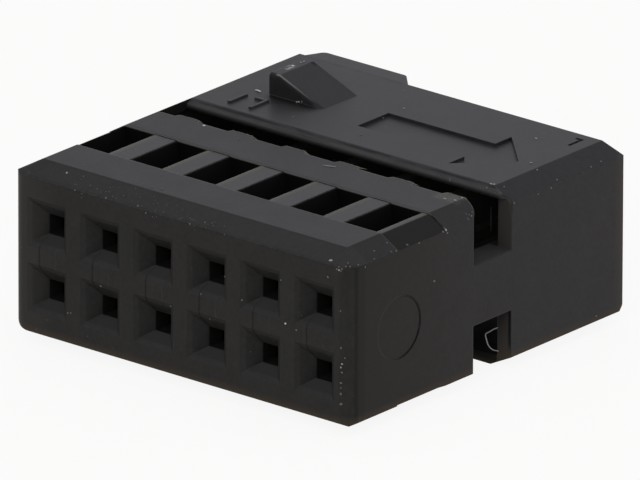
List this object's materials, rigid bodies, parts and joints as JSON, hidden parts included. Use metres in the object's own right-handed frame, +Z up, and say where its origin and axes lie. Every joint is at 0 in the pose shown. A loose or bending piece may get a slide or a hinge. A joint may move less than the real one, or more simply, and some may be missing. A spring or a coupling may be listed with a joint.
{
  "type": "connector housing",
  "caption": "Moulded plastic receptacle housing for crimped wire contacts: two rows of square pin entries, lock windows, a cross slot, a lock ramp and an arrow mark.",
  "frame": {"origin": "centre of the overall box in plan, on the underside", "axes": "+Z up out of the face with the lock ramp, -Y out of the mating face, +Y towards the wires, +X to the right seen from the mating face"},
  "size_m": [0.0126, 0.0128, 0.0062],
  "materials": {
    "plastic": "matte moulded, fine spark-eroded texture"
  },
  "bodies": {
    "root": {"housing": "plastic"}
  },
  "joints": []
}
